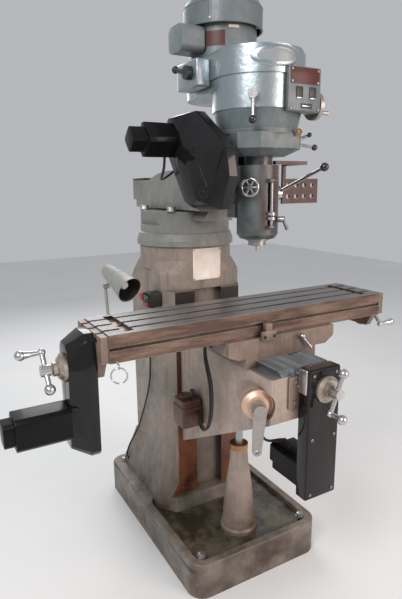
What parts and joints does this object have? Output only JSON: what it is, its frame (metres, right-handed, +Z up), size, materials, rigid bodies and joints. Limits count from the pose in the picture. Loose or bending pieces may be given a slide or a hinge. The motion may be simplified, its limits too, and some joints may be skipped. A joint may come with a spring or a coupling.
{
  "type": "vertical milling machine",
  "caption": "Knee-type vertical milling machine with a swivelling turret, ram and tilting head, a T-slotted table, a box base and belt-driven servo drives.",
  "frame": {"origin": "centre of the base's four anchor holes, on the floor", "axes": "+X along the table to the operator's right, +Y from the operator to the column, +Z up"},
  "size_m": [1.5281, 1.3103, 2.107],
  "materials": {
    "grey_green_paint": "old grey-green enamel, oily and worn at the edges",
    "oily_iron": "scraped iron with brown oil stains",
    "table_steel": "planed dark iron, polished by use",
    "bright_aluminium": "cast and brushed, slightly tarnished",
    "black_enamel": "gloss black enamel",
    "black_motor_paint": "satin black paint",
    "polished_steel": "polished steel",
    "ground_steel": "ground steel under an oil film",
    "dial_metal": "satin metal with graduations, stained by oil",
    "amber_dial": "lacquered metal, amber with age",
    "grey_lever": "bare cast metal",
    "bronze": "bronze darkened by oil",
    "oiler_red_brown": "oily red-brown reservoir",
    "rack_red": "dark red paint",
    "black_plastic": "black moulded plastic",
    "red_button": "red plastic",
    "green_button": "green plastic",
    "lamp_paint": "grey-green enamel outside, black inside",
    "black_rubber": "black rubber hose and cable"
  },
  "bodies": {
    "column": {"column_base": "grey_green_paint", "elevating_pedestal": "grey_green_paint", "elevating_nut": "bronze", "button_box": "black_plastic", "column_cable": "black_rubber"},
    "mushroom_button": {"mushroom_button": "red_button"},
    "start_button": {"start_button": "green_button"},
    "stop_button": {"stop_button": "red_button"},
    "lamp_arm": {"lamp_arm": "lamp_paint"},
    "lamp_head": {"lamp_shade": "lamp_paint"},
    "knee": {"knee": "grey_green_paint", "lube_tank": "oiler_red_brown", "lube_hoses": "black_rubber", "y_drive_housing": "black_enamel", "y_motor": "black_motor_paint", "y_motor_cable": "black_rubber"},
    "elevating_screw": {"elevating_screw": "ground_steel"},
    "crank": {"crank_shaft": "ground_steel", "crank_dial": "amber_dial", "crank_lever": "grey_lever"},
    "cross_screw": {"cross_screw": "ground_steel", "cross_dial": "dial_metal", "cross_handle": "polished_steel"},
    "lube_handle": {"lube_handle": "black_plastic"},
    "saddle": {"saddle": "oily_iron", "feed_nuts": "bronze"},
    "table_lock": {"table_lock_lever": "polished_steel"},
    "table": {"table": "table_steel", "end_brackets": "oily_iron", "x_drive_housing": "black_enamel", "x_motor": "black_motor_paint"},
    "table_ring": {"table_ring": "polished_steel"},
    "table_screw": {"table_screw": "ground_steel", "table_dials": "dial_metal", "table_handles": "polished_steel"},
    "turret": {"turret": "grey_green_paint"},
    "ram": {"ram": "grey_green_paint"},
    "knuckle": {"knuckle": "grey_green_paint"},
    "head": {"head_casting": "grey_green_paint", "gear_housing": "grey_green_paint", "belt_housing": "bright_aluminium", "motor": "grey_green_paint", "motor_fan_cap": "grey_green_paint", "terminal_box": "grey_green_paint", "drum_switch": "bright_aluminium", "speed_box": "grey_green_paint", "tool_rack": "rack_red", "z_drive_housing": "black_enamel", "z_motor": "black_motor_paint", "z_motor_cable": "black_rubber"},
    "switch_lever": {"switch_lever": "black_plastic"},
    "speed_wheel": {"speed_wheel": "grey_lever"},
    "hi_lo_lever": {"hi_lo_lever": "polished_steel"},
    "brake_lever": {"brake_lever": "polished_steel"},
    "feed_lever": {"feed_lever": "polished_steel"},
    "quill_handle": {"quill_handle": "polished_steel"},
    "quill_lock": {"quill_lock": "ground_steel"},
    "feed_wheel": {"feed_wheel": "polished_steel"},
    "quill": {"quill": "ground_steel"},
    "spindle": {"spindle": "ground_steel"}
  },
  "joints": [
    {"name": "mushroom_press", "type": "slide", "parent": "column", "child": "mushroom_button", "axis": [1, 0, 0], "range_m": [0, 0.004], "stiffness_N_per_m": 600, "springref_m": -0.002},
    {"name": "start_press", "type": "slide", "parent": "column", "child": "start_button", "axis": [1, 0, 0], "range_m": [0, 0.004], "stiffness_N_per_m": 600, "springref_m": -0.002},
    {"name": "stop_press", "type": "slide", "parent": "column", "child": "stop_button", "axis": [1, 0, 0], "range_m": [0, 0.004], "stiffness_N_per_m": 600, "springref_m": -0.002},
    {"name": "lamp_swivel", "type": "hinge", "parent": "column", "child": "lamp_arm", "pos_m": [-0.199, 0.095, 0.96], "axis": [-1, 0, 0], "range_deg": [-20, 30]},
    {"name": "lamp_tilt", "type": "hinge", "parent": "lamp_arm", "child": "lamp_head", "pos_m": [-0.398, 0.06, 1.105], "axis": [1, 0, 0], "range_deg": [-30, 30]},
    {"name": "knee_slide", "type": "slide", "parent": "column", "child": "knee", "axis": [0, 0, 1], "range_m": [-0.243, 0.163]},
    {"name": "elevating_screw_turn", "type": "hinge", "parent": "knee", "child": "elevating_screw", "pos_m": [0, -0.29, 0.5], "axis": [0, 0, 1], "range_deg": [-17221.5, 11552.2]},
    {"name": "crank_turn", "type": "hinge", "parent": "knee", "child": "crank", "pos_m": [-0.12536, -0.56255, 0.811], "axis": [-0.4179, -0.9085, 0], "range_deg": [-34441.9, 23103.4]},
    {"name": "saddle_slide", "type": "slide", "parent": "knee", "child": "saddle", "axis": [0, 1, 0], "range_m": [-0.1, 0.205]},
    {"name": "cross_screw_turn", "type": "hinge", "parent": "knee", "child": "cross_screw", "pos_m": [0.05, -0.4, 0.855], "axis": [0, 1, 0], "range_deg": [-7087.6, 14528.6]},
    {"name": "oiler_pull", "type": "slide", "parent": "knee", "child": "lube_handle", "axis": [0, 0, 1], "range_m": [0, 0.022], "stiffness_N_per_m": 150, "springref_m": -0.01},
    {"name": "table_slide", "type": "slide", "parent": "saddle", "child": "table", "axis": [1, 0, 0], "range_m": [-0.235, 0.32]},
    {"name": "table_screw_turn", "type": "hinge", "parent": "table", "child": "table_screw", "pos_m": [0, -0.411, 0.975], "axis": [1, 0, 0], "range_deg": [-16654.5, 22678.2]},
    {"name": "table_lock_turn", "type": "hinge", "parent": "saddle", "child": "table_lock", "pos_m": [0.078, -0.54, 0.985], "axis": [0, 1, 0], "range_deg": [-60, 15]},
    {"name": "ring_swing", "type": "hinge", "parent": "table", "child": "table_ring", "pos_m": [-0.57, -0.536, 0.989], "axis": [0.9138, -0.4061, 0], "range_deg": [-60, 60]},
    {"name": "turret_swivel", "type": "hinge", "parent": "column", "child": "turret", "pos_m": [0, 0.139, 1.3], "axis": [0, 0, 1], "range_deg": [-180, 180]},
    {"name": "ram_slide", "type": "slide", "parent": "turret", "child": "ram", "axis": [0, -1, 0], "range_m": [-0.168, 0.137]},
    {"name": "head_nod", "type": "hinge", "parent": "ram", "child": "knuckle", "pos_m": [0, -0.215, 1.47], "axis": [1, 0, 0], "range_deg": [-45, 45]},
    {"name": "head_roll", "type": "hinge", "parent": "knuckle", "child": "head", "pos_m": [0, -0.285, 1.47], "axis": [0, 1, 0], "range_deg": [-90, 90]},
    {"name": "switch_turn", "type": "hinge", "parent": "head", "child": "switch_lever", "pos_m": [-0.196, -0.292, 1.836], "axis": [1, 0, 0], "range_deg": [-45, 45]},
    {"name": "speed_wheel_turn", "type": "hinge", "parent": "head", "child": "speed_wheel", "pos_m": [0.122, -0.505, 1.728], "axis": [1, 0, 0], "continuous": true},
    {"name": "hi_lo_turn", "type": "hinge", "parent": "head", "child": "hi_lo_lever", "pos_m": [-0.09396, -0.49714, 1.752], "axis": [-0.6422, -0.7665, 0], "range_deg": [-75, 75]},
    {"name": "brake_turn", "type": "hinge", "parent": "head", "child": "brake_lever", "pos_m": [0.1265, -0.43, 1.618], "axis": [1, 0, 0], "range_deg": [-30, 30]},
    {"name": "feed_lever_turn", "type": "hinge", "parent": "head", "child": "feed_lever", "pos_m": [0.1265, -0.452, 1.634], "axis": [1, 0, 0], "range_deg": [-25, 25]},
    {"name": "quill_slide", "type": "slide", "parent": "head", "child": "quill", "axis": [0, 0, 1], "range_m": [-0.127, 0]},
    {"name": "quill_handle_turn", "type": "hinge", "parent": "head", "child": "quill_handle", "pos_m": [0, -0.34, 1.455], "axis": [1, 0, 0], "range_deg": [-1, 291]},
    {"name": "quill_lock_turn", "type": "hinge", "parent": "head", "child": "quill_lock", "pos_m": [0.05028, -0.45978, 1.372], "axis": [0.6282, -0.7781, 0], "range_deg": [-40, 40]},
    {"name": "feed_wheel_turn", "type": "hinge", "parent": "head", "child": "feed_wheel", "pos_m": [-0.06304, -0.44325, 1.478], "axis": [-0.788, -0.6156, 0], "continuous": true},
    {"name": "spindle_spin", "type": "hinge", "parent": "quill", "child": "spindle", "pos_m": [0, -0.394, 1.4], "axis": [0, 0, 1], "continuous": true}
  ],
  "couplings": [
    {"joint": "elevating_screw_turn", "follows": "knee_slide", "rad_per_m": 1236.8},
    {"joint": "crank_turn", "follows": "knee_slide", "rad_per_m": 2473.7},
    {"joint": "cross_screw_turn", "follows": "saddle_slide", "rad_per_m": 1236.8},
    {"joint": "table_screw_turn", "follows": "table_slide", "rad_per_m": 1236.8},
    {"joint": "quill_handle_turn", "follows": "quill_slide", "rad_per_m": -39.854}
  ]
}
